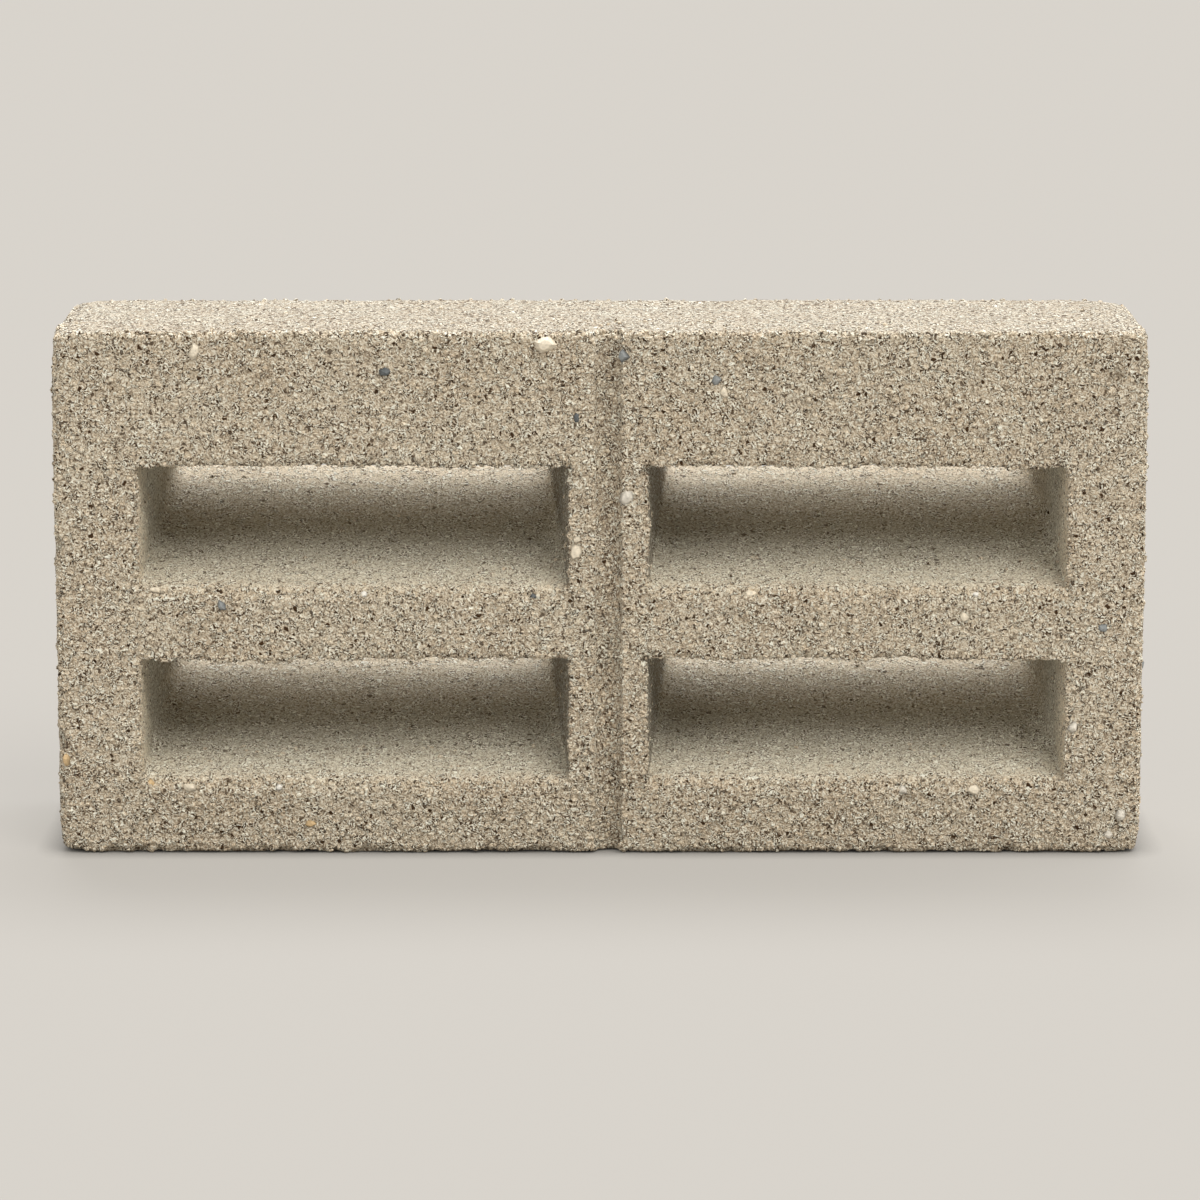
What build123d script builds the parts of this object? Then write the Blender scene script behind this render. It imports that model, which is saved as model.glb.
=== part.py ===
"""Ventilation block of concrete, cast in one piece, with four slots that climb through it to the back.

The block stands on its bottom bed.  The origin is the middle of that bed, X runs along the face, Y runs from
the front face to the back and Z points up.  All lengths are in millimetres.
"""

import os

from build123d import *

# Body: a half-thick block for a 400 by 200 mm course with 10 mm joints
block_length = 390.0
block_height = 190.0
block_depth = 90.0
corner_radius = 3.5  # upright corners, worn round
arris_radius = 2.0  # edges of the top and bottom beds

# Dummy joint: the upright groove that makes the face look like two half blocks
groove_width = 10.0
groove_depth = 4.5
groove_lip_radius = 3.0

# Walls between the slots on the front face
left_wall = 30.0
right_wall = 28.0
web_width = 28.5
web_offset = 3.0  # the web and its groove stand right of the middle
bottom_band = 26.5
bar_height = 26.0

# Slots: the floor climbs until it hides what is behind the block, so rain runs out at the front
slot_height = 44.0
floor_rise = 32.0
ceiling_rise = 25.0
side_taper = 7.5  # each end of a slot draws in by this towards the back

# Edges of the slots
sill_radius = 4.5  # front edge of a slot's floor
crest_radius = 2.0  # back edge of a slot's floor
lip_radius = 1.2  # ends and ceiling, front and back

cut_overrun = 5.0  # how far a slot's core stands out of both faces

# Places that follow from the sizes
front = -block_depth / 2
back = block_depth / 2
web_left = web_offset - web_width / 2
web_right = web_offset + web_width / 2
slot_columns = [
    (-block_length / 2 + left_wall, web_left),
    (web_right, block_length / 2 - right_wall),
]
slot_sills = [bottom_band, bottom_band + slot_height + bar_height]


def slot_core(left, right, sill):
    """The space inside one slot, from in front of the block to behind it.

    Its side outline climbs to the back, the floor faster than the ceiling.  Its plan draws in to the back.
    The core is what the two outlines, each made deep enough to pass the other, have in common.
    """
    floor_slope = floor_rise / block_depth
    ceiling_slope = ceiling_rise / block_depth
    side_slope = side_taper / block_depth
    near = front - cut_overrun
    far = back + cut_overrun
    reach = block_depth + cut_overrun
    top = sill + slot_height
    with BuildPart() as core:
        with BuildSketch(Plane.YZ.offset(left - cut_overrun)):
            with BuildLine():
                Polyline(
                    (near, sill - floor_slope * cut_overrun),
                    (far, sill + floor_slope * reach),
                    (far, top + ceiling_slope * reach),
                    (near, top - ceiling_slope * cut_overrun),
                    close=True,
                )
            make_face()
        extrude(amount=right - left + 2 * cut_overrun)
        with BuildSketch(Plane.XY):
            with BuildLine():
                Polyline(
                    (left - side_slope * cut_overrun, near),
                    (right + side_slope * cut_overrun, near),
                    (right - side_slope * reach, far),
                    (left + side_slope * reach, far),
                    close=True,
                )
            make_face()
        extrude(amount=block_height, mode=Mode.INTERSECT)
    return core.part


def slot_rims(faces):
    """The four edges of each slot's mouth in these faces, the floor's edge first and the ceiling's last."""
    return [wire.edges().sort_by(Axis.Z) for face in faces for wire in face.inner_wires()]


slot_cores = [slot_core(left, right, sill) for left, right in slot_columns for sill in slot_sills]

with BuildPart() as block:
    # Plan of the block, with the groove bitten out of its front edge
    with BuildSketch() as plan:
        Rectangle(block_length, block_depth)
        groove_radius = ((groove_width / 2) ** 2 + groove_depth**2) / (2 * groove_depth)
        with Locations((web_offset, front + groove_depth - groove_radius)):
            Circle(groove_radius, mode=Mode.SUBTRACT)
        groove_lips = plan.vertices().sort_by_distance((web_offset, front))[:2]
        fillet(groove_lips, groove_lip_radius)
        ends = plan.vertices().group_by(Axis.X)
        fillet(ends[0] + ends[-1], corner_radius)
    extrude(amount=block_height)
    fillet(block.faces().filter_by(Axis.Z).edges(), arris_radius)

    # Slots, then their mouths: on each face first the floor's edge, then the ends and the ceiling
    for core in slot_cores:
        add(core, mode=Mode.SUBTRACT)
    for side, floor_edge_radius in ((0, sill_radius), (-1, crest_radius)):
        mouths = slot_rims(block.faces().filter_by(Axis.Y).group_by(Axis.Y)[side])
        fillet([rim[0] for rim in mouths], floor_edge_radius)
        mouths = slot_rims(block.faces().filter_by(Axis.Y).group_by(Axis.Y)[side])
        fillet([edge for rim in mouths for edge in rim[1:]], lip_radius)

os.makedirs("parts", exist_ok=True)
block.part.label = "concrete_block"
export_step(block.part, "parts/concrete_block.step")
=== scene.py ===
"""Dresses the concrete ventilation block: its open-grained skin, the stones and grains in it, and the stage.

X runs along the face, Y to the back and Z up.  Shapes are worked out in millimetres and stored in metres.
"""

import math
from functools import partial

import bpy
import numpy as np
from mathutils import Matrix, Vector


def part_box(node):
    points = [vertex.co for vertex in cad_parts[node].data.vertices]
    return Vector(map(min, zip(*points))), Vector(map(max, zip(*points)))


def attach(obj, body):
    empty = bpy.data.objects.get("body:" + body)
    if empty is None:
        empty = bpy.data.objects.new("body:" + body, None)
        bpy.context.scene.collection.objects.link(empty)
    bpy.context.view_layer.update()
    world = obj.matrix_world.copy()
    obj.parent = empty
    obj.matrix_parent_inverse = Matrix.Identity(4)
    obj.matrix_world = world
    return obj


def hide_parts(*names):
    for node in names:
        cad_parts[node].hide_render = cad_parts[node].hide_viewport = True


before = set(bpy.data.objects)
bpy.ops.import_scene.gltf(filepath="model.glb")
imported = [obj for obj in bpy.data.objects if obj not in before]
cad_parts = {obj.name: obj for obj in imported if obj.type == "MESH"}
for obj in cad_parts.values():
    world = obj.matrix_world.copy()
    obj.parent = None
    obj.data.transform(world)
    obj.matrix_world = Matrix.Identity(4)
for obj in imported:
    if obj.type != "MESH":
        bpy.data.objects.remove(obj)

bl_info = {
    "name": "Concrete ventilation block",
    "version": (1, 0, 0),
    "blender": (4, 5, 0),
    "location": "3D View > Sidebar > Block",
    "description": "Skin, stones, grains and stage of a concrete ventilation block",
    "category": "Object",
}

MM = 0.001
NODE = "concrete_block"
BODY = "root"
SKIN = "concrete_block_skin"
LOW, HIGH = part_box(NODE)
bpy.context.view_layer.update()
FRONT, BACK, BOTTOM = LOW[1] / MM, HIGH[1] / MM, LOW[2] / MM

OTHER_STONES = 60
GRIT_COUNT = 7500
GRAIN_COUNT = 9400
MOST_TRIANGLES = 200000
NEAR_DEPTH = 24.0  # how far behind the face the skin's grid is fine
FULL = 2.0  # the most painted light and wear, and the most painted shade, that the material knows
FAR = 99.0  # stands for a distance that doesn't matter
TOUCH = 0.01  # points this near lie on a line or a plane
TINY = 1e-9  # keeps a divisor from being zero

# Noise in the relief: the height and width of its waves, and its seed
BROAD_SWELL = (0.22, 38.0, 21)
SMALL_SWELL = (0.10, 13.0, 22)
SKIN_GRIT = (0.15, 1.9, 23)
RAGGED_EDGE = (0.7, 3.1, 42)
WAVY_LIP = (1.5, 15.0, 43)
WAVY_FOOT = (0.5, 9.0, 44)
CHIP_RIM = (0.25, 2.4, 51)

# Damage that the photograph shows: middle, half sizes and depth
CHIPS = (
    ((-194.0, -10.0, 190.0), (8.0, 7.0, 6.0), 3.4),
    ((-195.0, -45.0, 112.0), (4.0, 5.0, 6.0), 1.8),
    ((-195.0, -45.0, 39.0), (5.0, 5.0, 7.0), 2.0),
    ((110.7, -45.0, 70.5), (7.0, 5.0, 3.5), 2.2),
    ((183.0, -45.0, 173.0), (3.0, 4.0, 3.5), 2.0),
    ((135.7, -45.0, 152.0), (2.2, 3.0, 2.2), 1.3),
    ((-170.7, -45.0, 150.0), (2.2, 3.0, 2.2), 1.3),
    ((110.7, -45.0, 20.0), (2.2, 3.0, 2.4), 1.4),
    ((79.6, -45.0, 171.8), (2.0, 3.0, 2.0), 1.2),
    ((-94.0, -45.0, 173.0), (2.0, 3.0, 2.0), 1.2),
    ((2.5, -45.0, 190.0), (6.0, 6.5, 5.0), 2.8),
)

# Stones that the photograph shows in the face: how far along and up, width, height and colour
FACE_STONES = (
    (-19.6, 185.2, 7.2, 5.1, "cream"),
    (-144.1, 182.7, 3.6, 5.1, "cream"),
    (-75.5, 176.2, 3.6, 3.3, "slate"),
    (8.2, 181.2, 3.6, 3.7, "blue_grey"),
    (41.0, 172.6, 2.9, 2.9, "blue_grey"),
    (44.5, 168.3, 2.9, 4.4, "cream"),
    (-8.6, 159.3, 2.2, 3.7, "slate"),
    (10.0, 130.0, 5.0, 5.5, "pale"),
    (-8.2, 110.7, 5.0, 5.9, "cream"),
    (-8.6, 114.4, 2.9, 2.9, "cream"),
    (-159.7, 96.1, 5.0, 2.6, "cream"),
    (-135.0, 90.6, 3.2, 3.3, "blue_grey"),
    (-84.4, 94.7, 3.2, 2.6, "white"),
    (-23.7, 94.3, 2.2, 2.2, "slate"),
    (53.9, 95.0, 5.0, 3.3, "cream"),
    (135.3, 94.7, 2.5, 2.2, "white"),
    (129.7, 86.6, 4.3, 3.7, "cream"),
    (179.7, 83.0, 2.9, 2.9, "blue_grey"),
    (-191.8, 34.4, 2.5, 4.4, "tan"),
    (-162.0, 25.8, 2.9, 2.6, "tan"),
    (-148.3, 24.0, 4.3, 3.3, "cream"),
    (-115.0, 24.0, 2.5, 2.2, "white"),
    (-104.3, 10.6, 3.2, 2.9, "tan"),
    (109.6, 23.6, 3.2, 3.3, "pale"),
    (170.3, 46.6, 3.2, 4.4, "pale"),
    (134.2, 23.2, 4.3, 3.7, "cream"),
    (188.2, 14.0, 3.6, 4.4, "pale"),
    (183.0, 6.5, 2.9, 2.9, "pale"),
)

# Lamps: name, direction that the light comes from, irradiance, width in degrees and colour
LAMPS = (
    ("back_light", (0.0, 0.45, 0.893), 2.7, 26.0, "F6F9FF"),
    ("back_right_light", (0.45, 0.30, 0.84), 1.35, 30.0, "F6F9FF"),
    ("front_right_light", (0.34, -0.50, 0.80), 2.15, 40.0, "FFFCF7"),
    ("front_left_fill", (-0.55, -0.70, 0.46), 0.5, 60.0, "FFFCF7"),
)


def linear(hex_colour):
    """sRGB hex such as "B8AC95" to linear red, green and blue."""
    parts = [int(hex_colour[i:i + 2], 16) / 255 for i in (0, 2, 4)]
    return tuple(p / 12.92 if p <= 0.04045 else ((p + 0.055) / 1.055) ** 2.4 for p in parts)


def length_prop(name, description, millimetres):
    """A length that a user may change, shown with its unit."""
    return bpy.props.FloatProperty(
        name=name, description=description, default=millimetres * MM,
        min=0.0, subtype="DISTANCE", unit="LENGTH",
    )


def colour_prop(name, description, hex_colour):
    """A colour that a user may change, written as sRGB hex."""
    return bpy.props.FloatVectorProperty(
        name=name, description=description, default=linear(hex_colour),
        min=0.0, max=1.0, subtype="COLOR", size=3,
    )


class BlockSizes(bpy.types.PropertyGroup):
    """Sizes of the slots and the groove, as in the cast block"""

    left_wall: length_prop("Left wall", "End wall left of the slots, at the face", 30.0)
    right_wall: length_prop("Right wall", "End wall right of the slots, at the face", 28.0)
    web_width: length_prop("Web", "Wall between the left and right slots, at the face", 28.5)
    web_offset: length_prop("Web offset", "How far right of the middle the web stands", 3.0)
    bottom_band: length_prop("Bottom band", "Height of the lower slots' sills", 26.5)
    bar_height: length_prop("Bar", "Height of the bar between lower and upper slots", 26.0)
    slot_height: length_prop("Slot height", "Height of a slot's mouth", 44.0)
    floor_rise: length_prop("Floor rise", "How far a slot's floor climbs to the back", 32.0)
    ceiling_rise: length_prop("Ceiling rise", "How far a slot's ceiling climbs to the back", 25.0)
    side_taper: length_prop("Side taper", "How far each end of a slot draws in to the back", 7.5)
    groove_width: length_prop("Groove width", "Width of the dummy joint", 10.0)
    groove_depth: length_prop("Groove depth", "Depth of the dummy joint", 4.5)
    corner_radius: length_prop("Corner radius", "Rounding of the upright corners", 3.5)
    arris_radius: length_prop("Arris radius", "Rounding of the edges of the beds", 2.5)
    sill_radius: length_prop("Sill radius", "Rounding of the front edge of a slot's floor", 4.5)
    lip_radius: length_prop("Lip radius", "Rounding of the front edge of a slot's ceiling", 1.8)


class BlockColours(bpy.types.PropertyGroup):
    """Colours of the concrete and the stage"""

    cement: colour_prop("Cement", "Cement film over the grains", "CEBFA7")
    sand: colour_prop("Sand", "Browner sand between the grains", "C7B69D")
    # Greyer than the cement, and darker as painted shade in the slots
    shaded_film: colour_prop("Film", "Greyer cement film inside the slots", "B7B09D")
    shaded_back_film: colour_prop("Back film", "Browner film in the back half of the slots", "B7A98F")
    # Also the colour of the painted shade in the groove, on the web's walls, under the lips and in chips
    shade_and_crevice: colour_prop("Crevice", "Shade and dirt between the grains", "422E19")
    fleck: colour_prop("Fleck", "Bare quartz grains", "F7F5E5")
    cream: colour_prop("Cream stone", "Cream gravel", "EFE3CC")
    white: colour_prop("White stone", "White quartz gravel", "F6F2E8")
    pale: colour_prop("Pale stone", "Pale limestone gravel", "E8E1D3")
    tan: colour_prop("Tan stone", "Tan flint gravel", "DDBE8F")
    blue_grey: colour_prop("Blue-grey stone", "Blue-grey gravel", "979B9B")
    slate: colour_prop("Slate stone", "Dark slate gravel", "64696B")
    floor: colour_prop("Floor", "Studio floor", "D4CFC7")


def hashed(cells, seed):
    """A number from 0 to 1 for each whole-numbered cell: its indices times primes, mixed and folded."""
    primes, seed_prime, mixer, word = (73856093, 19349663, 83492791), 2654435761, 0x45D9F3B, 0xFFFFFFFF
    ids = np.asarray(cells).astype(np.int64)
    mixed = ids[..., 0] * primes[0] ^ ids[..., 1] * primes[1] ^ ids[..., 2] * primes[2] ^ seed * seed_prime
    mixed = mixed & word
    for _ in range(2):
        mixed = ((mixed >> 16) ^ mixed) * mixer & word
    return ((mixed >> 16) ^ mixed) / word


def soft_noise(points, height, width, seed):
    """Smooth waves of a height and width: the numbers of a cell's eight corners, blended by distance."""
    grid = points / width
    base = np.floor(grid)
    part = grid - base
    part = part * part * (3 - 2 * part)
    total = np.zeros(len(points))
    for corner in np.ndindex(2, 2, 2):
        weight = np.prod(np.where(corner, part, 1 - part), axis=1)
        total += weight * hashed(base + corner, seed)
    return height * (2 * total - 1)


def scattered(points, size, seed):
    """Distances to the two nearest of centres scattered one to a cell, and the nearest one's number."""
    grid = points / size
    base = np.floor(grid)
    nearest, second = np.full((2, len(points)), FAR)
    number = np.zeros(len(points))
    for step in np.ndindex(3, 3, 3):
        cell = base + np.subtract(step, 1)
        centre = cell + np.stack([hashed(cell, seed + axis) for axis in range(3)], axis=1)
        distance = np.linalg.norm(grid - centre, axis=1)
        closer = distance < nearest
        second = np.where(closer, nearest, np.minimum(second, distance))
        number = np.where(closer, hashed(cell, seed + 3), number)
        nearest = np.where(closer, distance, nearest)
    return nearest * size, second * size, number


def faded(distance, full, reach):
    """1 close by and 0 far away: full less the distance counted in reaches, kept between 0 and 1."""
    return np.clip(full - distance / reach, 0, 1)


def close_to(distance, reach):
    """A bell curve of the distance: 1 at none, about a third at one reach."""
    return np.exp(-(distance / reach) ** 2)


def graded_lines(marks, fine, coarse, grow, multiple):
    """Positions from the first mark to the last, close together beside each mark and wider between.

    The step is fine at a mark and grows with the distance from it up to coarse.  The number of steps between
    two marks is a whole multiple, so every such line can be kept where the grid gets wider.
    """
    samples = 500
    runs = []
    for start, end in zip(marks[:-1], marks[1:]):
        along = np.linspace(start, end, samples)
        step = np.minimum(coarse, fine + grow * np.minimum(along - start, end - along))
        count = np.concatenate([[0], np.cumsum(np.diff(along) / step[1:])])
        cells = multiple * max(1, round(count[-1] / multiple))
        runs.append(np.interp(np.linspace(0, count[-1], cells + 1), count, along)[:-1])
    return np.concatenate(runs + [[marks[-1]]])


def boundary_edges(solid):
    """Edges between solid and empty cells of a plan: start and end corners, solid on the right."""
    padded = np.pad(solid, 1)
    starts, ends = [], []
    above, below = padded[1:-1, 1:], padded[1:-1, :-1]
    left, right = padded[:-1, 1:-1], padded[1:, 1:-1]
    for mask, first, last in (
        (below & ~above, (0, 0), (1, 0)),
        (above & ~below, (1, 0), (0, 0)),
        (left & ~right, (0, 1), (0, 0)),
        (right & ~left, (0, 0), (0, 1)),
    ):
        cells = np.argwhere(mask)
        starts.append(cells + first)
        ends.append(cells + last)
    return np.concatenate(starts), np.concatenate(ends)


class BlockForm:
    """Marks of the block along its three axes, worked out from its sizes, in millimetres"""

    def __init__(self, sizes):
        self.x0, self.x1 = LOW[0] / MM, HIGH[0] / MM
        self.y0, self.y1 = FRONT, BACK
        self.z0, self.z1 = BOTTOM, HIGH[2] / MM
        self.depth = self.y1 - self.y0
        web_left = (sizes.web_offset - sizes.web_width / 2) / MM
        web_right = (sizes.web_offset + sizes.web_width / 2) / MM
        self.web = sizes.web_offset / MM
        self.columns = [
            (self.x0 + sizes.left_wall / MM, web_left),
            (web_right, self.x1 - sizes.right_wall / MM),
        ]
        sill = sizes.bottom_band / MM
        height = sizes.slot_height / MM
        pitch = height + sizes.bar_height / MM
        self.rows = [(sill, sill + height), (sill + pitch, sill + pitch + height)]
        self.slots = [(*column, *row) for column in self.columns for row in self.rows]
        self.x_marks = [self.x0, *self.columns[0], *self.columns[1], self.x1]
        self.z_marks = [self.z0, *self.rows[0], *self.rows[1], self.z1]
        self.groove_half = sizes.groove_width / MM / 2
        self.corner = sizes.corner_radius / MM
        self.arris = sizes.arris_radius / MM
        for name in ("floor_rise", "ceiling_rise", "side_taper", "groove_depth", "sill_radius", "lip_radius"):
            setattr(self, name, getattr(sizes, name) / MM)

    def groove(self, places):
        """How far the groove pushes the face back: a circle's arc across it, fading out towards the back."""
        share = (places[:, 1] - self.y0) / self.depth
        radius = (self.groove_half**2 + self.groove_depth**2) / (2 * self.groove_depth)
        across = np.minimum(np.abs(places[:, 0] - self.web), self.groove_half)
        arc = np.sqrt(radius**2 - across**2) - (radius - self.groove_depth)
        return arc * (1 - share) ** 2

    def carried(self, places):
        """Moves points of a straight block to the cast one.

        With the depth behind the face, floors and ceilings rise and slot ends draw in, each by its share, and
        what lies between moves in proportion.  The groove pushes the face back.
        """
        x, y, z = places.T
        share = (y - self.y0) / self.depth
        rise = np.interp(z, self.z_marks, [0] + 2 * [self.floor_rise, self.ceiling_rise] + [0])
        draw = np.interp(x, self.x_marks, [0] + 2 * [self.side_taper, -self.side_taper] + [0])
        return np.stack([x + draw * share, y + self.groove(places), z + rise * share], axis=1)

    def rounded(self, places):
        """Rounds the outer edges of a straight block and the front edges of its slots' floors and ceilings.

        In plan, squares of points about each upright corner become circles.  Squares between wall and bed,
        face and sill, and face and ceiling then become circles in the same way.
        """
        low, high = np.array([self.x0, self.y0]), np.array([self.x1, self.y1])
        core = np.clip(places[:, :2], low + self.corner, high - self.corner)
        out = places[:, :2] - core
        longest = np.abs(out).max(axis=1)
        length = np.maximum(np.linalg.norm(out, axis=1), TINY)
        plan = core + out * (longest / length)[:, None]
        z_core = np.clip(places[:, 2], self.z0 + self.arris, self.z1 - self.arris)
        up = places[:, 2] - z_core
        to_wall = np.clip(longest - (self.corner - self.arris), 0, None)
        scale = np.maximum(to_wall, np.abs(up)) / np.maximum(np.hypot(to_wall, up), TINY)
        scale = np.where(np.hypot(to_wall, up) > 0, scale, 1)
        plan = plan - out * (to_wall * (1 - scale) / length)[:, None]
        points = np.column_stack([plan, z_core + up * scale])
        for left, right, floor, ceiling in self.slots:
            for edge, away, radius in ((floor, 1, self.sill_radius), (ceiling, -1, self.lip_radius)):
                x, y, z = points.T
                inset = np.minimum(x - left, right - x)
                radius = radius * np.clip(inset / radius, 0, 1)
                below, behind = away * (edge - z), y - self.y0
                square = (np.minimum(below, behind) > -TOUCH) & (np.maximum(below, behind) < radius)
                near = (inset > 0) & square
                a, b = np.where(near, radius - below, 0), np.where(near, radius - behind, 0)
                scale = np.where(near, np.maximum(a, b) / np.maximum(np.hypot(a, b), TINY), 1)
                points[:, 2] = np.where(near, edge - away * (radius - a * scale), z)
                points[:, 1] = np.where(near, self.y0 + radius - b * scale, y)
        return points

    def gaps(self, places):
        """Distances along the straight block's surface to the nearest edge, upper lip and crease.

        Slot mouths count as edges.  A lip is the front edge of a slot's ceiling, and a crease a long inside
        corner of the slot that the point is in.
        """
        x, y, z = places.T
        planes = np.stack([x - self.x0, self.x1 - x, y - self.y0, self.y1 - y, z - self.z0, self.z1 - z])
        edge = np.partition(planes, 1, axis=0)[1]
        lip, crease = np.full((2, len(places)), FAR)
        to_mouth = np.minimum(y - self.y0, self.y1 - y)
        for left, right, floor, ceiling in self.slots:
            across, upright = np.maximum(left - x, x - right), np.maximum(floor - z, z - ceiling)
            beside, above = np.clip(across, 0, None), np.clip(upright, 0, None)
            edge = np.minimum(edge, np.maximum(np.hypot(beside, above), to_mouth))
            lip = np.minimum(lip, np.maximum.reduce([beside, y - self.y0, np.abs(z - ceiling)]))
            within = np.maximum(across, upright) < TOUCH
            crease = np.where(within, np.maximum(-across, -upright), crease)
        return edge, lip, crease

    def corner_gaps(self, places):
        """Distances to the nearest corner of the block, and to its nearest edge from front to back."""
        inset = np.minimum(places - [self.x0, self.y0, self.z0], [self.x1, self.y1, self.z1] - places)
        return np.linalg.norm(inset, axis=1), np.hypot(inset[:, 0], inset[:, 2])


def neighbour_mean(points, pairs, counts):
    """Mean of each point's neighbours along the mesh edges."""
    mean = np.empty_like(points)
    for axis in range(3):
        column = points[:, axis]
        total = np.bincount(pairs[:, 0], column[pairs[:, 1]], len(points))
        total += np.bincount(pairs[:, 1], column[pairs[:, 0]], len(points))
        mean[:, axis] = total / counts
    return mean


def point_normals(points, quads):
    """Unit normals at the points: the sum of the crossed diagonals of the faces round each."""
    cross = np.cross(points[quads[:, 2]] - points[quads[:, 0]], points[quads[:, 3]] - points[quads[:, 1]])
    total = np.zeros_like(points)
    for corner in range(4):
        for axis in range(3):
            total[:, axis] += np.bincount(quads[:, corner], cross[:, axis], len(points))
    return total / np.maximum(np.linalg.norm(total, axis=1, keepdims=True), TINY)


def block_lattice(form):
    """The block's straight skin: corner places, quads, and six-cornered faces where the grid widens.

    A plan of solid and empty cells, seen from the front, is carried to the back: its cells close the face and
    the back, and its boundary edges sweep out the outer walls and the slots.  Behind the wide row only every
    third line goes on.
    """
    third = 3
    face_steps, near_steps, far_steps = (0.85, 1.4, 0.1), (0.8, 1.9, 0.08), (1.6, 3.6, 0.12)
    groove_marks = [form.web - form.groove_half, form.web, form.web + form.groove_half]
    x_lines = graded_lines(sorted(form.x_marks + groove_marks), *face_steps, third)
    z_lines = graded_lines(form.z_marks, *face_steps, third)
    near = graded_lines([form.y0, form.y0 + NEAR_DEPTH], *near_steps, 1)
    far = graded_lines([form.y0 + NEAR_DEPTH, form.y1], *far_steps, 1)
    y_lines = np.concatenate([near[:-1], far])
    wide_row = len(near) - 1
    nz, ny = len(z_lines), len(y_lines)

    def solid_cells(xs, zs):
        x_mid, z_mid = (xs[1:] + xs[:-1]) / 2, (zs[1:] + zs[:-1]) / 2
        in_column = np.any([(x_mid > a) & (x_mid < b) for a, b in form.columns], axis=0)
        in_row = np.any([(z_mid > a) & (z_mid < b) for a, b in form.rows], axis=0)
        return ~(in_column[:, None] & in_row[None, :])

    def ident(corners, row):
        return (corners[..., 0] * nz + corners[..., 1]) * ny + row

    fine = solid_cells(x_lines, z_lines)
    wide = solid_cells(x_lines[::third], z_lines[::third])
    ring = np.array([(0, 0), (1, 0), (1, 1), (0, 1)])
    face = ident(np.argwhere(fine)[:, None] + ring, 0)
    back = ident((np.argwhere(wide)[:, None] + ring[::-1]) * third, ny - 1)

    def swept(start, end, rows):
        corners = np.stack([start, end, end, start], axis=1)[:, None]
        steps = rows[None, :, None] + np.array([0, 0, 1, 1])
        return ident(np.broadcast_to(corners, (len(start), len(rows), 4, 2)), steps).reshape(-1, 4)

    near_walls = swept(*boundary_edges(fine), np.arange(wide_row - 1))
    start, end = (corner * third for corner in boundary_edges(wide))
    far_walls = swept(start, end, np.arange(wide_row, ny - 1))
    step = (end - start) // third
    fan = np.stack([start, start + step, start + 2 * step, end, end, start], axis=1)
    widening = ident(fan, wide_row - 1 + np.array([0, 0, 0, 0, 1, 1]))
    quads = np.concatenate([face, near_walls, far_walls, back])
    used, flat = np.unique(np.concatenate([quads.ravel(), widening.ravel()]), return_inverse=True)
    quads, widening = flat[:quads.size].reshape(-1, 4), flat[quads.size:].reshape(-1, 6)
    places = np.stack([x_lines[used // (nz * ny)], y_lines[used % ny], z_lines[used // ny % nz]], axis=1)
    return places, quads, widening


def make_mesh(name, points_mm, faces):
    """A mesh object from points in millimetres and face arrays, each with its own number of corners."""
    mesh = bpy.data.meshes.new(name)
    corners = np.concatenate([group.ravel() for group in faces]).astype(np.int32)
    sides = np.concatenate([np.full(len(group), group.shape[1]) for group in faces])
    starts = np.concatenate([[0], np.cumsum(sides)[:-1]]).astype(np.int32)
    mesh.vertices.add(len(points_mm))
    mesh.vertices.foreach_set("co", (points_mm * MM).astype(np.float32).ravel())
    mesh.loops.add(len(corners))
    mesh.loops.foreach_set("vertex_index", corners)
    mesh.polygons.add(len(sides))
    mesh.polygons.foreach_set("loop_start", starts)
    mesh.polygons.foreach_set("use_smooth", np.ones(len(sides), dtype=bool))
    mesh.update(calc_edges=True)
    mesh.validate()
    piece = bpy.data.objects.new(name, mesh)
    bpy.context.collection.objects.link(piece)
    return piece


def store(piece, name, values):
    """Keeps one number per point on the mesh, for the material to read."""
    layer = piece.data.attributes.new(name, "FLOAT", "POINT")
    layer.data.foreach_set("value", values.astype(np.float32))


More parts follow.
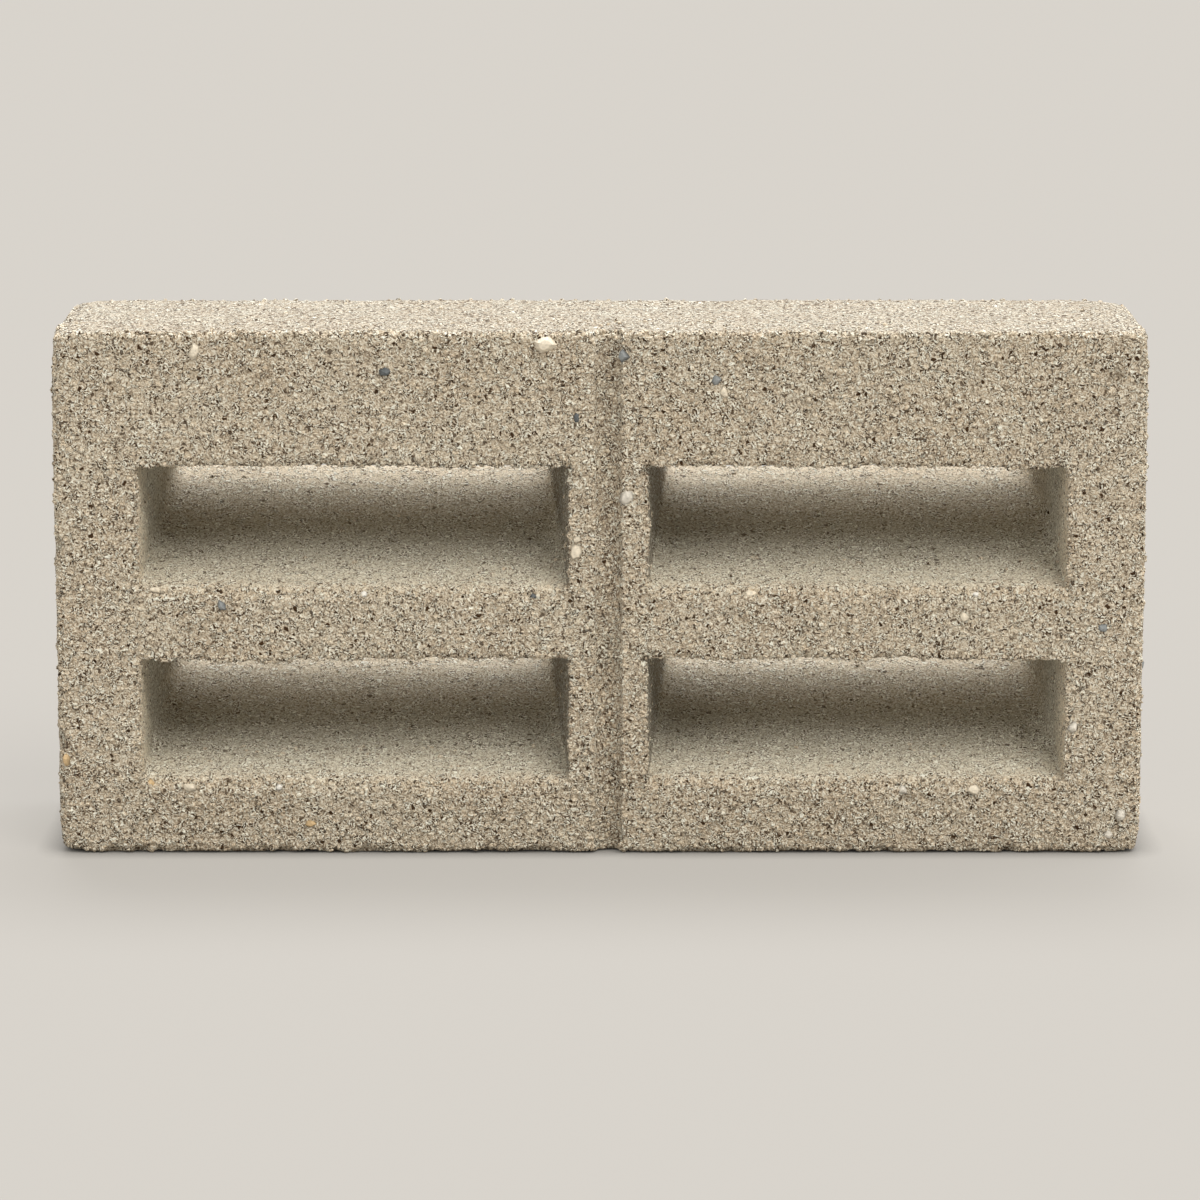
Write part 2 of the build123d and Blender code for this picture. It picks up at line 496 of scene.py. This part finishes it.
class BlockSkin:
    """The cast skin: rounded edges, grain, pores, broken arrises and chips on the block's lattice.

    The straight lattice is rounded and carried to the cast block.  Then lips and inside corners are softened,
    and last all points move along their normals by the relief.
    """

    def __init__(self, form):
        straight, self.quads, self.widening = block_lattice(form)
        self.edge_gap, lip, crease = form.gaps(straight)
        points = self.softened(form.carried(form.rounded(straight)), crease)
        self.normals = point_normals(points, self.quads)
        self.mark_zones(form, straight, lip, crease < FAR)
        relief = self.relief(points, lip, *form.corner_gaps(straight))
        self.points = points + relief[:, None] * self.normals
        self.points[:, 2] = np.maximum(self.points[:, 2], form.z0)

    def softened(self, points, crease):
        """Softens lips and inside corners: their points move towards the mean of their neighbours."""
        crease_rounds, lip_rounds, half_way = 7, 2, 0.5
        in_crease, at_lip = faded(crease, 1.2, 5.0), faded(self.edge_gap, 1.5, 1.0)
        pairs = np.concatenate([self.quads[:, [i, (i + 1) % 4]] for i in range(4)])
        pairs = np.unique(np.sort(pairs, axis=1), axis=0)
        counts = np.maximum(np.bincount(pairs.ravel(), minlength=len(points)), 1)
        for turn in range(crease_rounds):
            pull = half_way * np.maximum(in_crease, at_lip if turn < lip_rounds else 0)
            points += pull[:, None] * (neighbour_mean(points, pairs, counts) - points)
        return points

    def mark_zones(self, form, straight, lip, in_slot):
        """Numbers for the material: how far inside a slot, how flat on a bed, how much painted light and
        wear, and how much painted shade.

        Slot floors get painted light at the back, where light comes in from behind, and less at the front,
        where the sill is lit and worn; outer end walls get painted light at the front.  Painted shade lies in
        the groove, on the web's walls and under the upper lips, and thinly on the face, between the face
        grains.
        """
        sill_light_and_wear, groove_shade, web_shade, face_shade, steep = 0.6, 0.95, 1.5, 0.22, 0.7
        mouth_reach = 8
        behind = straight[:, 1] - form.y0
        ahead = form.depth - behind
        on_floor = np.min([np.abs(straight[:, 2] - floor) for floor, _ in form.rows], axis=0) < 1
        outwards = self.normals[:, 0] * np.sign(straight[:, 0])
        self.inside = np.where(in_slot, np.clip(behind / mouth_reach, 0, 1), 0)
        self.bed = np.where(in_slot, 0, np.clip(2 * np.abs(self.normals[:, 2]) - 0.8, 0, 1))
        # Painted light on the slot floors: a bright strip at the back, lit from behind, and a lighter sill at
        # the front, worn and lit
        floor_light_and_wear = np.maximum(sill_light_and_wear * faded(behind, 1.4, 18), FULL * faded(ahead, 1.3, 16))
        self.painted_light_and_wear = np.where(in_slot & on_floor, floor_light_and_wear, 0)
        # Painted light on the outer end walls near the mouth
        self.painted_light_and_wear = np.where(in_slot & (outwards < -steep), FULL * faded(behind, 1.2, 20), self.painted_light_and_wear)
        # Painted shade in the groove, deepest in its middle
        self.painted_shade = groove_shade * np.where(in_slot, 0, form.groove(straight) / form.groove_depth) ** 1.5
        # Painted shade on the web's walls
        self.painted_shade = np.where(in_slot & (outwards > steep), web_shade, self.painted_shade)
        # A little painted shade over the face, which darkens the skin between the face grains
        face = np.where(in_slot, 0, np.clip(-self.normals[:, 1], 0, 1))
        self.painted_shade = np.maximum(self.painted_shade, face_shade * face)
        # Painted shade on the underside of each upper lip
        under_lip = np.clip((-0.1 - self.normals[:, 2]) / 0.3, 0, 1) * close_to(lip, 3)
        self.painted_shade = np.maximum(self.painted_shade, FULL * under_lip)

    def relief(self, points, lip, corner, end_edge):
        """Height of the relief in millimetres, outwards.  Chips and broken lips also get painted shade.

        Flush gravel makes plateaus at slightly different heights, with valleys where two stones are about as
        near.  Pores are single deep points.  Along the edges scattered bites and small noise break the arris,
        most at the upper lips and the foot.  Chips are smooth hollows.  Corners are worn rounder.
        """
        stone_pitch, stone_height, valley_width = 4.2, 0.16, 1.0
        nearest, second, number = scattered(points, stone_pitch, 11)
        valley = 1 - np.clip((second - nearest) / valley_width, 0, 1)
        plateau = stone_height * (number - 0.5) - stone_height * valley
        swell = soft_noise(points, *BROAD_SWELL) + soft_noise(points, *SMALL_SWELL)
        pore_share, pore_depth, cells_per_mm = 0.02, 0.9, 97
        pores = np.where(hashed(np.round(points * cells_per_mm), 31) < pore_share, -pore_depth, 0.0)

        bite_pitch, bite_share, bite_reach, bite_shape = 7.0, 0.6, 3.8, 0.7
        bite_far, _, bite_number = scattered(points, bite_pitch, 41)
        bites = np.where(bite_number < bite_share, faded(bite_far, 1, bite_reach) ** bite_shape, 0)
        edge_bite, lip_bite, foot_bite, edge_loss, lip_loss = 1.4, 1.9, 2.2, 0.25, 0.3
        near_edge, near_lip = close_to(self.edge_gap, 1.6), close_to(lip, 2.3)
        near_foot = close_to(points[:, 2], 2.5) * close_to(self.edge_gap, 3)
        crumble = near_edge * (-edge_bite * bites - edge_loss + soft_noise(points, *RAGGED_EDGE))
        crumble -= near_lip * (lip_bite * bites + lip_loss + soft_noise(points, *WAVY_LIP))
        crumble -= near_foot * (foot_bite * bites + soft_noise(points, *WAVY_FOOT))

        chips = np.zeros(len(points))
        chip_slope, chip_shade, lip_shade, bite_shade = 1.3, 0.8, 0.2, 1.6
        for middle, half, depth in CHIPS:
            reach = np.linalg.norm((points - middle) / half, axis=1)
            reach += soft_noise(points, *CHIP_RIM)
            chips = np.maximum(chips, depth * np.clip(chip_slope * (1 - reach), 0, 1))
        # Painted shade in the chips
        self.painted_shade = np.maximum(self.painted_shade, chip_shade * np.clip(chips, 0, 1))
        # Painted shade along the upper lips, deepest in their bites
        self.painted_shade = np.maximum(self.painted_shade, near_lip * np.clip(lip_shade + bite_shade * bites, 0, bite_shade))

        slot_calm, corner_loss, end_loss, sunk = 0.5, 1.8, 0.7, 0.1
        calm = 1 - slot_calm * self.inside
        worn = corner_loss * close_to(corner, 6) + end_loss * close_to(end_edge, 2.5)
        grain = plateau + soft_noise(points, *SKIN_GRIT) + pores
        return calm * grain + swell + crumble - chips - worn - sunk


def skin_surface():
    """The skin's points, normals, distances to the nearest edge, and how far inside a slot they are."""
    mesh = bpy.data.objects[SKIN].data
    count = len(mesh.vertices)
    points, normals, gaps, within = (np.empty(size * count) for size in (3, 3, 1, 1))
    mesh.vertices.foreach_get("co", points)
    mesh.vertex_normals.foreach_get("vector", normals)
    mesh.attributes["edge_gap"].data.foreach_get("value", gaps)
    mesh.attributes["inside"].data.foreach_get("value", within)
    return points.reshape(-1, 3) / MM, normals.reshape(-1, 3), gaps, within


def pebbles(anchors, normals, widths, heights, proud, around, rings, seed):
    """Closed irregular pebbles, sunk in a surface at their anchors: points, quads and triangles.

    Each is a sphere of two angles, scaled to its width, height and thickness, its outline drawn in and out
    from angle to angle.  It stands proud of the surface by part of its thickness.
    """
    turn_jitter, outline_range, wobble_range = 0.3, (0.72, 1.18), (0.9, 1.1)
    thickness_share, level = 0.42, 0.9
    count = len(anchors)
    draw = np.random.default_rng(seed)
    polar = math.pi * np.arange(1, rings + 1) / (rings + 1)
    jitter = draw.uniform(-turn_jitter, turn_jitter, (count, around))
    turn = 2 * math.pi * (np.arange(around) + jitter) / around
    outline = draw.uniform(*outline_range, (count, 1, around, 1))
    flat = np.stack(np.broadcast_arrays(
        np.sin(polar)[:, None] * np.cos(turn)[:, None], np.sin(polar)[:, None] * np.sin(turn)[:, None],
        np.cos(polar)[:, None],
    ), axis=-1)
    flat = (flat * np.where([1, 1, 0], outline, 1)).reshape(count, -1, 3)
    tip = np.broadcast_to([[[0.0, 0.0, 1.0]]], (count, 1, 3))
    unit = np.concatenate([tip, flat, -tip], axis=1)
    wobble = draw.uniform(*wobble_range, unit.shape)
    thick = thickness_share * (widths + heights) / 2
    local = unit * wobble * np.stack([widths / 2, heights / 2, thick], axis=1)[:, None]
    local[:, :, 2] += (proud - 1)[:, None] * thick[:, None]
    up = np.where(np.abs(normals[:, 2:]) > level, [[0.0, 1.0, 0.0]], [[0.0, 0.0, 1.0]])
    side = np.cross(up, normals)
    side /= np.linalg.norm(side, axis=1, keepdims=True)
    axes = np.stack([side, np.cross(normals, side), normals], axis=1)
    points = anchors[:, None] + np.einsum("pvk,pkd->pvd", local, axes)
    ring = np.arange(around)
    after = (ring + 1) % around
    rows = 1 + around * np.arange(rings - 1)[:, None]
    quads = np.stack([rows + ring, rows + around + ring, rows + around + after, rows + after], axis=-1)
    last = 1 + around * (rings - 1)
    top = np.stack([np.zeros(around, int), 1 + ring, 1 + after], axis=1)
    foot = np.stack([np.full(around, last + around), last + after, last + ring], axis=1)
    caps = np.concatenate([top, foot])
    first = unit.shape[1] * np.arange(count)[:, None, None]
    return points.reshape(-1, 3), (first + quads.reshape(-1, 4)).reshape(-1, 4), (first + caps).reshape(-1, 3)


def joined_grains(name, anchors, normals, draw, seed, wide, tall, proud, worn):
    """One piece of many small grains at the anchors, in the skin's material.

    Each grain's width, its height as a share of that, how proud it stands and its wear are drawn from the
    ranges wide, tall, proud and worn.  None reaches below the bottom bed.
    """
    around, rings = 5, 2
    count = len(anchors)
    widths = draw.uniform(*wide, count)
    heights = widths * draw.uniform(*tall, count)
    raised = draw.uniform(*proud, count)
    points, quads, caps = pebbles(anchors, normals, widths, heights, raised, around, rings, seed)
    points[:, 2] = np.maximum(points[:, 2], BOTTOM)
    piece = make_mesh(name, points, [quads, caps])
    store(piece, "painted_light_and_wear", np.repeat(draw.uniform(*worn, count), len(points) // count))
    piece.data.materials.append(bpy.data.objects[SKIN].data.materials[0])
    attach(piece, BODY)
    return piece


def add_node(tree, kind, inputs=None, **settings):
    """Adds a node with its settings.  Each input is a value, or the node or socket that it is linked from.

    Map Range has its value at 0, the range it comes from at 1 and 2, and the one it goes to at 3 and 4.  Mix
    has its factor at 0 and its colours at 6 and 7.
    """
    node = tree.nodes.new(kind)
    for name, value in settings.items():
        setattr(node, name, value)
    for key, value in (inputs or {}).items():
        source = value.outputs[0] if isinstance(value, bpy.types.Node) else value
        if isinstance(source, bpy.types.NodeSocket):
            tree.links.new(source, node.inputs[key])
        else:
            node.inputs[key].default_value = source
    return node


def new_material(name):
    """An empty node material, and add_node for its tree."""
    material = bpy.data.materials.new(name)
    material.use_nodes = True
    material.node_tree.nodes.clear()
    return material, partial(add_node, material.node_tree)


def pressed_concrete(colours):
    """Pressed open-grained concrete: sand and small gravel in a dry cement film, flattened by the mould.

    To the eye it is matt and pale.  Flush gravel shows as smoother islands about 3 mm wide in a crust of
    sand, whose grains make short light and dark strokes, with open joints and pores between.
    """
    material, node = new_material("pressed_open_grained_concrete")
    noise, cells, ranged = "ShaderNodeTexNoise", "ShaderNodeTexVoronoi", "ShaderNodeMapRange"
    maths, vectors, mix = "ShaderNodeMath", "ShaderNodeVectorMath", "ShaderNodeMix"
    names = ("cement", "sand", "shaded_film", "shaded_back_film", "shade_and_crevice", "fleck")
    cement, sand, shaded_film, shaded_back_film, shade_and_crevice, fleck = ((*getattr(colours, name), 1.0) for name in names)
    place = node("ShaderNodeTexCoord").outputs["Object"]
    in_mm = node(vectors, {0: place, "Scale": 1 / MM}, operation="SCALE")
    inside, bed, painted_light_and_wear, painted_shade = (
        node("ShaderNodeAttribute", attribute_name=name).outputs["Fac"]
        for name in ("inside", "bed", "painted_light_and_wear", "painted_shade")
    )

    # The mould's sides leave the face rough, and slots and beds come out smoother
    smooth_slots = node(ranged, {0: inside, 3: 1.0, 4: 0.8})
    smooth_beds = node(ranged, {0: bed, 3: 1.0, 4: 0.85})
    rough = node(maths, {0: smooth_slots, 1: smooth_beds}, operation="MULTIPLY")

    # Grain outlines wander by a few millimetres, which draws the sand out into strokes
    wander_mm, wander_by = 2.1, 2.6
    wander = node(noise, {"Vector": in_mm, "Scale": 1 / wander_mm, "Detail": 1.0})
    reach = {0: wander.outputs["Color"], 1: (wander_by,) * 3, 2: in_mm}
    bent = node(vectors, reach, operation="MULTIPLY_ADD")

    # Small gravel of about 3 mm, nearly all of it flush with the face and smoother than the crust between
    gravel_mm = 2.9
    gravel = node(cells, {"Vector": bent, "Scale": 1 / gravel_mm})
    gravel_number = node("ShaderNodeSeparateColor", {0: gravel.outputs["Color"]}).outputs
    chosen = node(ranged, {0: gravel_number[0], 1: -0.2, 2: 0.2})
    island = node(ranged, {0: gravel, 1: 0.68, 2: 0.48, 4: chosen})
    crust = node(ranged, {0: island, 3: 1.15, 4: 0.55})
    crust = node(maths, {0: crust, 1: rough}, operation="MULTIPLY")

    # Sand: crests where a noise is high, gaps where it is low, lighter and darker as bare grains and dirt,
    # and also as painted highlight and shade of the sand's relief.  Its grains, 0.1 to 0.3 mm, are too fine
    # to show in the render, so it is drawn at about 0.6 mm
    sand_mm = 0.62
    sand_noise = node(noise, {"Vector": bent, "Scale": 1 / sand_mm, "Detail": 0.5})
    crest = node(ranged, {0: sand_noise, 1: 0.51, 2: 0.64, 4: crust})
    gap = node(ranged, {0: sand_noise, 1: 0.455, 2: 0.335, 4: crust})

    # Open joints between grains, 1 to 2 mm long, where a wider noise is lowest: most on beds, fewest in slots
    joint_mm, joint_edge = 1.3, 0.05
    joint_noise = node(noise, {"Vector": bent, "Scale": 1 / joint_mm, "Detail": 0.0})
    joint_level = node(ranged, {0: bed, 3: 0.30, 4: 0.405})
    joint_floor = node(maths, {0: joint_level, 1: joint_edge}, operation="SUBTRACT")
    joints_left = node(ranged, {0: inside, 3: 0.85, 4: 0.5})
    joints = node(ranged, {0: joint_noise, 1: joint_level, 2: joint_floor, 4: joints_left})

    # One spot in each 3 mm, up to 2 mm across: most are open pores, the others bare light grains
    spot_mm, pore_share = 3.0, 0.6
    spot = node(cells, {"Vector": bent, "Scale": 1 / spot_mm})
    spot_number = node("ShaderNodeSeparateColor", {0: spot.outputs["Color"]}).outputs
    spot_size = node(ranged, {0: spot_number[0], 1: 0.4, 2: 1.0, 3: 0.0, 4: 0.30})
    spot_depth = node(maths, {0: spot_size, 1: spot}, operation="SUBTRACT")
    spots = node(ranged, {0: spot_depth, 1: 0.0, 2: 0.05, 4: rough})
    is_pore = node(maths, {0: spot_number[1], 1: pore_share}, operation="LESS_THAN")
    pores = node(maths, {0: spots, 1: is_pore}, operation="MULTIPLY")
    grains = node(maths, {0: spots, 1: pores}, operation="SUBTRACT")

    # Cement and sand drift into each other over 30 mm, and each stone under them has its own tint
    drift_mm = 30.0
    drift = node(noise, {"Vector": in_mm, "Scale": 1 / drift_mm, "Detail": 1.0})
    drift = node(ranged, {0: drift, 1: 0.35, 2: 0.65})
    colour = node(mix, {0: drift, 6: cement, 7: sand}, data_type="RGBA").outputs[2]
    stone_tint = node(ranged, {0: gravel_number[2], 3: 0.96, 4: 1.05})
    colour = node(vectors, {0: colour, "Scale": stone_tint}, operation="SCALE")

    # A film lies in the slots, greyer than the cement and darker as painted shade.  It is thinner where
    # painted light and wear are marked, and turns browner about half-way to the back
    film_turns, film_turned = -12.0, 10.0
    film_left = node(ranged, {0: painted_light_and_wear, 2: FULL, 3: 0.9, 4: 0.3})
    shaded_film_share = node(maths, {0: inside, 1: film_left}, operation="MULTIPLY")
    depth = node("ShaderNodeSeparateXYZ", {0: in_mm}).outputs["Y"]
    deep = node(ranged, {0: depth, 1: film_turns, 2: film_turned})
    shaded_slot_film = node(mix, {0: deep, 6: shaded_film, 7: shaded_back_film}, data_type="RGBA").outputs[2]
    colour = node(mix, {0: shaded_film_share, 6: colour, 7: shaded_slot_film}, data_type="RGBA").outputs[2]

    # Places marked worn are lighter: painted light at the back of the slot floors and on the outer end walls,
    # lit and worn at the sills, and each grain's own tone.  Beds, the top and the bottom, are painted darker
    # as shade, toning down the strong light from above
    lighter = node(ranged, {0: painted_light_and_wear, 2: FULL, 3: 1.0, 4: 1.48})
    bed_shade = node(ranged, {0: bed, 3: 1.0, 4: 0.74})
    shade = node(maths, {0: lighter, 1: bed_shade}, operation="MULTIPLY")
    colour = node(vectors, {0: colour, "Scale": shade}, operation="SCALE")
    # Painted shade: the groove, the web's walls, under the lips, chips and the face
    painted_shade_share = node(ranged, {0: painted_shade, 2: FULL, 3: 0.0, 4: 0.8})

    # Over that lie painted shade, then light crests and grains, then dark gaps, joints and pores
    light = node(maths, {0: crest, 1: grains}, operation="MAXIMUM")
    gaps = node(maths, {0: gap, 1: joints}, operation="MAXIMUM")
    dark = node(maths, {0: gaps, 1: pores}, operation="MAXIMUM")
    for share, over in ((painted_shade_share, shade_and_crevice), (light, fleck), (dark, shade_and_crevice)):
        colour = node(mix, {0: share, 6: colour, 7: over}, data_type="RGBA").outputs[2]

    # Relief in millimetres: the sand's noise on the crust, and a small step from stone to stone
    stone_step = 0.20
    height = node(maths, {0: sand_noise, 1: crust}, operation="MULTIPLY")
    height = node(maths, {0: gravel_number[1], 1: stone_step, 2: height}, operation="MULTIPLY_ADD")
    bump = node("ShaderNodeBump", {"Strength": 1.0, "Distance": MM, "Height": height})
    matt = {"Base Color": colour, "Normal": bump, "Roughness": 0.92, "Specular IOR Level": 0.25}
    node("ShaderNodeOutputMaterial", {"Surface": node("ShaderNodeBsdfPrincipled", matt)})
    return material


def river_stone():
    """Rounded river gravel, washed and bare: one tone a stone, with painted shade at its sunk rim, faintly
    mottled, with a slight dull sheen.
    """
    material, node = new_material("bare_river_gravel")
    mottle_mm, pitting_mm = 1.1, 0.15
    tone = node("ShaderNodeAttribute", attribute_name="tone").outputs["Color"]
    place = node("ShaderNodeTexCoord").outputs["Object"]
    mottle = node("ShaderNodeTexNoise", {"Vector": place, "Scale": 1 / (mottle_mm * MM), "Detail": 3.0})
    shade = node("ShaderNodeMapRange", {0: mottle, 1: 0.3, 2: 0.7, 3: 0.78, 4: 1.12})
    colour = node("ShaderNodeVectorMath", {0: tone, "Scale": shade}, operation="SCALE")
    bump = node("ShaderNodeBump", {"Strength": 0.6, "Distance": pitting_mm * MM, "Height": mottle})
    dull = {"Base Color": colour, "Normal": bump, "Roughness": 0.62}
    node("ShaderNodeOutputMaterial", {"Surface": node("ShaderNodeBsdfPrincipled", dull)})
    return material


def studio_paper(colour):
    """Matt studio paper.  The camera sees it partly in its own colour, so the shadow stays soft and pale.

    That part darkens within 11 mm of the block, where little light gets in.
    """
    material, node = new_material("matt_studio_paper")
    lit_share, own_share, contact_mm = 0.57, 0.64, 11
    lit_colour = [lit_share * part for part in colour[:3]] + [1.0]
    matt = {"Base Color": lit_colour, "Roughness": 0.9, "Specular IOR Level": 0.1}
    near = node("ShaderNodeAmbientOcclusion", {"Color": colour, "Distance": contact_mm * MM}, samples=3)
    plain = node("ShaderNodeEmission", {"Color": near.outputs["Color"]})
    path = node("ShaderNodeLightPath").outputs
    maths = "ShaderNodeMath"
    seen = node(maths, {0: path["Is Camera Ray"], 1: path["Is Glossy Ray"]}, operation="MAXIMUM")
    seen = node(maths, {0: seen, 1: path["Is Transmission Ray"]}, operation="MAXIMUM")
    share = node(maths, {0: seen, 1: own_share}, operation="MULTIPLY")
    both = {0: share, 1: node("ShaderNodeBsdfPrincipled", matt), 2: plain}
    node("ShaderNodeOutputMaterial", {"Surface": node("ShaderNodeMixShader", both)})
    return material


class BLOCK_OT_skin(bpy.types.Operator):
    """Makes the block's open-grained skin, which stands for the cast solid"""

    bl_idname = "ventblock.skin"
    bl_label = "Block skin"

    def execute(self, context):
        skin = BlockSkin(BlockForm(context.scene.vent_block_sizes))
        piece = make_mesh(SKIN, skin.points, [skin.quads, skin.widening])
        for name in ("inside", "bed", "painted_light_and_wear", "painted_shade", "edge_gap"):
            store(piece, name, getattr(skin, name))
        piece.data.materials.append(pressed_concrete(context.scene.vent_block_colours))
        triangles = 2 * len(skin.quads) + 4 * len(skin.widening)
        if triangles > MOST_TRIANGLES:
            raise RuntimeError(f"the skin has {triangles} triangles, more than a piece may have")
        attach(piece, BODY)
        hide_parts(NODE)
        return {"FINISHED"}


class BLOCK_OT_stones(bpy.types.Operator):
    """Makes the stones that show in the skin, those of the face where the photograph has them"""

    bl_idname = "ventblock.stones"
    bl_label = "Exposed stones"

    def execute(self, context):
        surface, normals, gaps, within = skin_surface()
        draw = np.random.default_rng(7)
        along, up, widths, heights, tones = (list(column) for column in zip(*FACE_STONES))

        # Each stone of the face sits on the nearest point of the skin, the others on the ends and the back
        turned, level, face_zone, edge_zone = -0.3, 0.5, 8, 4
        facing = np.flatnonzero((normals[:, 1] < turned) & (surface[:, 1] < FRONT + face_zone))
        plan = surface[facing][:, [0, 2]]
        chosen = [facing[np.argmin(np.sum((plan - place) ** 2, axis=1))] for place in zip(along, up)]
        plain_side = (np.abs(normals[:, 2]) < level) & (normals[:, 1] > turned)
        others = np.flatnonzero(plain_side & (gaps > edge_zone) & (within < TOUCH))
        wide_share = 6.0  # makes up for the wider grid further back
        share = np.where(surface[others, 1] < FRONT + NEAR_DEPTH, 1.0, wide_share)
        picked = draw.choice(others, OTHER_STONES, replace=False, p=share / share.sum())
        chosen = np.concatenate([chosen, picked])

        # A stone's rim is sunk, so it is made wider than what shows of it
        sunk_rim, face_proud = 1.25, 0.2
        spread = draw.uniform(2.2, 5.0, OTHER_STONES)
        widths = sunk_rim * np.concatenate([widths, spread])
        heights = sunk_rim * np.concatenate([heights, spread * draw.uniform(0.65, 1.2, OTHER_STONES)])
        proud = draw.uniform(0.35, 0.6, len(chosen))
        proud[:len(FACE_STONES)] += face_proud
        anchors, out = surface[chosen], normals[chosen]
        points, quads, caps = pebbles(anchors, out, widths, heights, proud, around=7, rings=4, seed=8)
        piece = make_mesh("exposed_stones", points, [quads, caps])

        # One colour a stone, with painted shade towards its rim where it goes into the concrete
        palette = context.scene.vent_block_colours
        kinds, kind_shares = ["cream", "pale", "tan", "blue_grey", "slate"], [0.32, 0.36, 0.12, 0.15, 0.05]
        names = tones + list(draw.choice(kinds, OTHER_STONES, p=kind_shares))
        colours = np.array([(*getattr(palette, name), 1.0) for name in names])
        depth = np.einsum("pvd,pd->pv", points.reshape(len(chosen), -1, 3) - anchors[:, None], out)
        rim_shade, rim_reach = 0.35, 0.5
        rim = np.clip(rim_shade + depth / rim_reach, rim_shade, 1.0)
        tone = colours[:, None] * rim[..., None]
        layer = piece.data.attributes.new("tone", "FLOAT_COLOR", "POINT")
        layer.data.foreach_set("color", tone.astype(np.float32).ravel())
        piece.data.shade_flat()
        piece.data.materials.append(river_stone())
        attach(piece, BODY)
        return {"FINISHED"}


class BLOCK_OT_grains(bpy.types.Operator):
    """Makes the loose-looking grit along the edges and the angular sand grains that stand out of the face"""

    bl_idname = "ventblock.grains"
    bl_label = "Grit and grains"

    def execute(self, context):
        surface, normals, gaps, _ = skin_surface()
        zone = 6
        at_front = surface[:, 1] < FRONT + zone

        # Grit: most along the edges, more at the back, and none at the foot
        draw = np.random.default_rng(17)
        edge_reach, front_share, other_share, back_share, foot = 1.8, 0.06, 0.03, 3.0, 1.0
        weight = close_to(gaps, edge_reach) + np.where(at_front, front_share, other_share)
        weight *= np.where(surface[:, 1] > BACK - zone, back_share, 1.0)
        weight *= np.where(surface[:, 2] > foot, 1.0, 0.0)
        chosen = draw.choice(len(surface), GRIT_COUNT, replace=False, p=weight / weight.sum())
        joined_grains(
            "edge_grit", surface[chosen], normals[chosen], draw, seed=18,
            wide=(1.0, 2.7), tall=(0.7, 1.2), proud=(0.35, 1.0), worn=(-0.4, 1.0),
        )

        # Face grains: tilted at random
        draw = np.random.default_rng(27)
        turned, clear, tilt = -0.6, 2.0, 0.4
        on_face = (normals[:, 1] < turned) & at_front & (surface[:, 2] > clear)
        chosen = draw.choice(np.flatnonzero(on_face), GRAIN_COUNT, replace=False)
        tilted = normals[chosen] + tilt * draw.normal(size=(GRAIN_COUNT, 3))
        tilted /= np.linalg.norm(tilted, axis=1, keepdims=True)
        grains = joined_grains(
            "face_grains", surface[chosen], tilted, draw, seed=28,
            wide=(1.4, 2.8), tall=(0.6, 1.2), proud=(0.25, 0.75), worn=(-0.2, 0.8),
        )
        grains.data.shade_flat()
        return {"FINISHED"}


class BLOCK_OT_stage(bpy.types.Operator):
    """Makes the floor, the lights and the camera"""

    bl_idname = "ventblock.stage"
    bl_label = "Stage"

    def execute(self, context):
        scene = context.scene
        scene.view_settings.view_transform = "Standard"
        reach_mm = 9000.0
        corners = reach_mm * np.array([(-1, -1, 0), (1, -1, 0), (1, 1, 0), (-1, 1, 0)])
        floor = make_mesh("studio_floor", corners, [np.array([[0, 1, 2, 3]])])
        floor.data.materials.append(studio_paper((*scene.vent_block_colours.floor, 1.0)))

        world = bpy.data.worlds.new("soft_studio")
        world.use_nodes = True
        background = world.node_tree.nodes["Background"]
        background.inputs["Color"].default_value = (*linear("FFFDFA"), 1.0)
        background.inputs["Strength"].default_value = 0.32
        scene.world = world

        for name, source, strength, spread, colour in LAMPS:
            lamp = bpy.data.lights.new(name, "SUN")
            lamp.energy = strength
            lamp.angle = math.radians(spread)
            lamp.color = linear(colour)
            holder = bpy.data.objects.new(name, lamp)
            context.collection.objects.link(holder)
            holder.location = source
            holder.rotation_euler = Vector(source).to_track_quat("Z", "Y").to_euler()

        # The camera as fitted to the photograph, in metres and degrees
        before_face, above_floor, looks_down = 1.783, 0.433, 10.79
        camera = bpy.data.cameras.new("photo_camera")
        camera.sensor_width = 36.0
        camera.lens = 152.2
        camera.clip_end = 50.0
        holder = bpy.data.objects.new("photo_camera", camera)
        context.collection.objects.link(holder)
        holder.location = (0.0, LOW[1] - before_face, above_floor)
        holder.rotation_euler = (math.radians(90.0 - looks_down), 0.0, 0.0)
        scene.camera = holder
        return {"FINISHED"}


class VIEW3D_PT_vent_block(bpy.types.Panel):
    """Lists the block's pieces, sizes and colours"""

    bl_label = "Concrete block"
    bl_space_type = "VIEW_3D"
    bl_region_type = "UI"
    bl_category = "Block"

    def draw(self, context):
        for operator in OPERATORS:
            self.layout.operator(operator.bl_idname)
        for group in (context.scene.vent_block_sizes, context.scene.vent_block_colours):
            for name in group.__annotations__:
                self.layout.prop(group, name)


OPERATORS = (BLOCK_OT_skin, BLOCK_OT_stones, BLOCK_OT_grains, BLOCK_OT_stage)
CLASSES = (BlockSizes, BlockColours, *OPERATORS, VIEW3D_PT_vent_block)


def register():
    for cls in CLASSES:
        bpy.utils.register_class(cls)
    bpy.types.Scene.vent_block_sizes = bpy.props.PointerProperty(type=BlockSizes)
    bpy.types.Scene.vent_block_colours = bpy.props.PointerProperty(type=BlockColours)


def unregister():
    del bpy.types.Scene.vent_block_colours
    del bpy.types.Scene.vent_block_sizes
    for cls in reversed(CLASSES):
        bpy.utils.unregister_class(cls)


def main():
    register()
    bpy.ops.ventblock.skin()
    bpy.ops.ventblock.stones()
    bpy.ops.ventblock.grains()
    bpy.ops.ventblock.stage()


if __name__ == "__main__":
    main()
